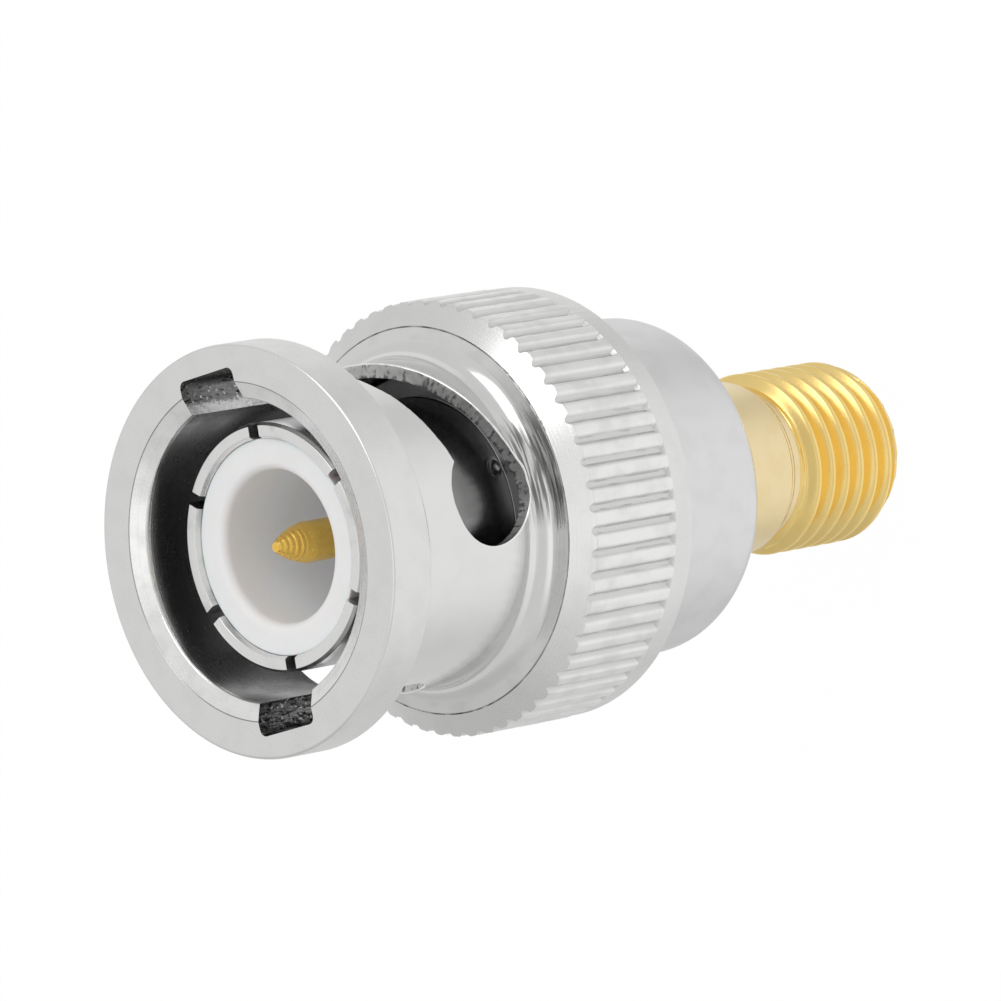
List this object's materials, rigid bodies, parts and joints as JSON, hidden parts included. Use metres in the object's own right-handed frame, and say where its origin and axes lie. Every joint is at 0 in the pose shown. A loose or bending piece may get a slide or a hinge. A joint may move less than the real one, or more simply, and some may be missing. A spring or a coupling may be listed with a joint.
{
  "type": "coaxial adapter",
  "caption": "Coaxial adapter: a bayonet plug with a sprung, knurled coupling sleeve at one end and a small gold threaded jack at the other.",
  "frame": {"origin": "centre of the threaded jack's end face, which the adapter stands on", "axes": "+Z along the adapter's axis, out of the plug's mouth; the sleeve's two keyways lie on +Y and -Y"},
  "size_m": [0.0144, 0.0144, 0.0282],
  "materials": {
    "nickel_satin": "satin nickel plate, lightly turned",
    "nickel_bright": "bright nickel plate",
    "nickel_smooth": "smooth satin nickel plate",
    "spring_steel": "plain spring steel",
    "gold_plate": "pale gold plate",
    "gold_contact": "gold plate, turned",
    "white_insulator": "smooth white, slightly waxy"
  },
  "bodies": {
    "adapter": {"plug_body": "nickel_bright", "plug_insulator": "white_insulator", "centre_contact": "gold_contact", "rear_body": "nickel_smooth", "jack_body": "gold_plate", "jack_insulator": "white_insulator", "wave_washer_front": "spring_steel", "wave_washer_rear": "spring_steel"},
    "carrier": {"thrust_washer": "spring_steel"},
    "sleeve": {"coupling_sleeve": "nickel_satin", "retaining_ring": "spring_steel"}
  },
  "joints": [
    {"name": "sleeve_slide", "type": "slide", "parent": "adapter", "child": "carrier", "axis": [0, 0, 1], "range_m": [0, 0.0007], "stiffness_N_per_m": 8000, "springref_m": -0.0006, "deforming": ["wave_washer_front", "wave_washer_rear"]},
    {"name": "sleeve_turn", "type": "hinge", "parent": "carrier", "child": "sleeve", "pos_m": [0, 0, 0.01675], "axis": [0, 0, 1], "continuous": true}
  ]
}
